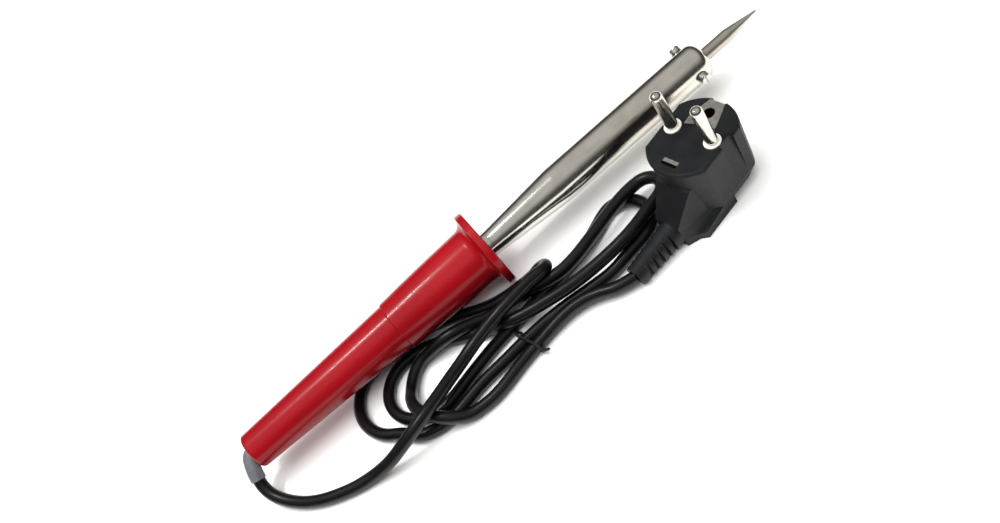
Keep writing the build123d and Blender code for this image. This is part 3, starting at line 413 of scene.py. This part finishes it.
def hank_turns():
    """The hank's three turns: each leg listed, each end a bend worked out from its own size."""
    turns = [
        (OVER_LOOPS, ((-1.6, -21.6), (4.9, 3.3), -80, 100, (12.9, 6.4))),
        (UNDER_HANDLE, ((-74.0, -14.0), (16.7, 18.5), 90, 245, (2.6, 2.6))),
        (MIDDLE_LEG, ((36.0, -26.6), (11.6, 12.4), -80, 95, (4.6, 2.6))),
        (FIRST_LEG, ((-64.0, -19.0), (14.3, 15.0), 245, 90, (2.6, 2.6))),
        (SECOND_LEG, ((50.0, -25.6), (7.3, 7.0), -70, 90, (9.0, 7.8))),
        (THIRD_LEG, ((-50.0, -28.0), (20.0, 20.0), 115, 275, (3.6, 2.6), (205, 52, 5.2))),
    ]
    places = []
    for leg, arc in turns:
        places += leg + bend(*arc)
    return places


def cord_line():
    """The whole cord, from inside the handle to the plug's boot."""
    return SLEEVE_POINTS + RUN_POINTS + hank_turns() + TO_PLUG


def spline_curve(name, places, radius, resolution=6, round_steps=6):
    """A round, smooth tube along control points in millimetres."""
    curve = bpy.data.curves.new(name, "CURVE")
    curve.dimensions = "3D"
    spline = curve.splines.new("NURBS")
    spline.points.add(len(places) - 1)
    for point, (x, y, z) in zip(spline.points, places):
        point.co = (x * MM, y * MM, z * MM, 1.0)
    spline.order_u = 3
    spline.use_endpoint_u = True
    curve.resolution_u = resolution
    curve.bevel_depth = radius * MM
    curve.bevel_resolution = round_steps
    curve.use_fill_caps = True
    made = bpy.data.objects.new(name, curve)
    bpy.context.collection.objects.link(made)
    return made


def smooth_line(flex):
    """Places along a cord's smooth line in millimetres, read from its own spline."""
    bare = flex.copy()
    bare.data = flex.data.copy()
    bare.data.bevel_depth = 0
    mesh = bpy.data.meshes.new_from_object(bare)
    places = [Vector(vertex.co) / MM for vertex in mesh.vertices]
    curve = bare.data
    bpy.data.objects.remove(bare)
    bpy.data.curves.remove(curve)
    bpy.data.meshes.remove(mesh)
    return places


def sleeve_places(flex):
    """The first stretch of the cord's line, as far as the sleeve covers it."""
    line = smooth_line(flex)
    places = [line[0]]
    covered = 0.0
    for before, after in zip(line, line[1:]):
        covered += (after - before).length
        if covered > SLEEVE_LENGTH:
            break
        places.append(after)
    return places


def loop_place(share):
    """A place on the tie's line and the direction it runs in there."""
    spot = share * (len(TIE_LOOP) - 1)
    index = min(int(spot), len(TIE_LOOP) - 2)
    a, b = (Vector(TIE_LOOP[i]) for i in (index, index + 1))
    return a.lerp(b, spot - index), (b - a).normalized()


def twisted_strand(phase):
    """One of the tie's two wires, wound round the loop's line."""
    places = []
    for step in range(TIE_STEPS + 1):
        middle, along = loop_place(step / TIE_STEPS)
        side = along.cross(Vector((1, 0, 0))).normalized()
        out = side.cross(along)
        angle = phase + 2 * math.pi * TIE_TWISTS * step / TIE_STEPS
        offset = TIE_SPREAD * (math.cos(angle) * side + math.sin(angle) * out)
        places.append(tuple(middle + offset))
    return places


def on_iron(piece, material, slot, *replaced):
    """Gives a piece its finish and its place on the iron's body."""
    piece.data.materials.append(material)
    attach(piece, "iron")
    if replaced:
        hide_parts(*replaced)
    return piece


def make_cord():
    """The flex, in one smooth tube from the handle to the plug."""
    flex = spline_curve("flex", cord_line(), CORD_RADIUS)
    return on_iron(flex, CORD_PVC, "black_cord", "cord_entry", "cord_run", "cord_hank", "cord_tail")


def make_sleeve(flex):
    """The grey tube over the flex where it leaves the handle."""
    sleeve = spline_curve("grey_sleeve_tube", sleeve_places(flex), SLEEVE_RADIUS, round_steps=8)
    return on_iron(sleeve, SLEEVE_PVC, "grey_sleeve", "strain_relief_sleeve")


def make_tie():
    """Two coated wires twisted together, once round the hank."""
    wires = []
    for index in range(2):
        places = twisted_strand(math.pi * index)
        wire = spline_curve(
            f"tie_wire_{index + 1}", places, TIE_WIRE_RADIUS, resolution=3, round_steps=3,
        )
        wires.append(on_iron(wire, TIE_PVC, "black_tie"))
    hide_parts("cord_tie")
    return wires


# ---- studio ----
def make_camera():
    """Looks down at the iron from the front, rolled so that the bit points up to the right."""
    down = math.radians(CAMERA_DOWN)
    roll = math.radians(CAMERA_ROLL)
    level = Vector((1, 0, 0))
    rising = Vector((0, math.sin(down), math.cos(down)))
    right = math.cos(roll) * level - math.sin(roll) * rising
    up = math.sin(roll) * level + math.cos(roll) * rising
    back = right.cross(up)
    data = bpy.data.cameras.new("camera")
    data.lens = CAMERA_LENS
    data.clip_start = CAMERA_CLIP * MM
    camera = bpy.data.objects.new("camera", data)
    turn = Matrix((right, up, back)).transposed().to_4x4()
    camera.matrix_world = Matrix.Translation(Vector(CAMERA_PLACE) * MM) @ turn
    bpy.context.collection.objects.link(camera)
    bpy.context.scene.camera = camera


def make_floor():
    """A plain pale tabletop."""
    material, tree, shader = finish_named("matt_white_table", Roughness=0.9)
    clouds = add(tree, "ShaderNodeTexNoise", at_size(tree, FLOOR_CLOUD, Detail=3.0))
    whites = [(0.3, "#F1F1F0"), (0.7, "#F6F6F5")]
    add(tree, "ShaderNodeValToRGB", {"Fac": clouds}, shader.inputs["Base Color"], whites)
    mesh = bpy.data.meshes.new("floor")
    turns = ((-1, -1), (1, -1), (1, 1), (-1, 1))
    corners = [(x * FLOOR_REACH, y * FLOOR_REACH, 0) for x, y in turns]
    mesh.from_pydata(corners, [], [(0, 1, 2, 3)])
    mesh.materials.append(material)
    floor = bpy.data.objects.new("floor", mesh)
    floor.location.z = -FLOOR_DROP
    bpy.context.collection.objects.link(floor)


def soft_box(name, place, target, size, power, mirrored=True):
    """A soft light that faces a point; one that isn't mirrored shows in no gloss."""
    data = bpy.data.lights.new(name, "AREA")
    data.shape = "RECTANGLE"
    data.size, data.size_y = size
    data.energy = power
    light = bpy.data.objects.new(name, data)
    light.visible_glossy = mirrored
    light.location = place
    light.rotation_euler = (Vector(target) - Vector(place)).to_track_quat("-Z", "Y").to_euler()
    bpy.context.collection.objects.link(light)


def light_studio():
    """A wide box overhead, a strip for the long highlight, and a surround that is dark low down."""
    world = bpy.data.worlds.new("studio")
    world.use_nodes = True
    bpy.context.scene.world = world
    tree = world.node_tree
    background = tree.nodes["Background"]
    background.inputs["Strength"].default_value = SKY_STRENGTH
    coordinates = add(tree, "ShaderNodeTexCoord")
    direction = add(tree, "ShaderNodeSeparateXYZ", {"Vector": coordinates.outputs["Generated"]})
    greys = [(0.0, "#303030"), (0.45, "#6A6A69"), (0.8, "#E4E4E3")]
    add(tree, "ShaderNodeValToRGB", {"Fac": direction.outputs["Z"]}, background.inputs["Color"], greys)
    soft_box(
        "overhead_box", place=(-0.1, -0.1, 1.1), target=(0, -0.03, 0), size=(1.6, 1.2), power=24.0,
        mirrored=False,
    )
    soft_box(
        "rim_strip", place=(-0.22, 0.16, 0.9), target=(-0.12, 0, 0), size=(0.16, 0.03), power=2.6,
    )


def set_colours():
    """Plain colours, with no film curve."""
    bpy.context.scene.view_settings.view_transform = "Standard"


give_finishes()
cord = make_cord()
sleeve = make_sleeve(cord)
tie = make_tie()
make_camera()
make_floor()
light_studio()
set_colours()
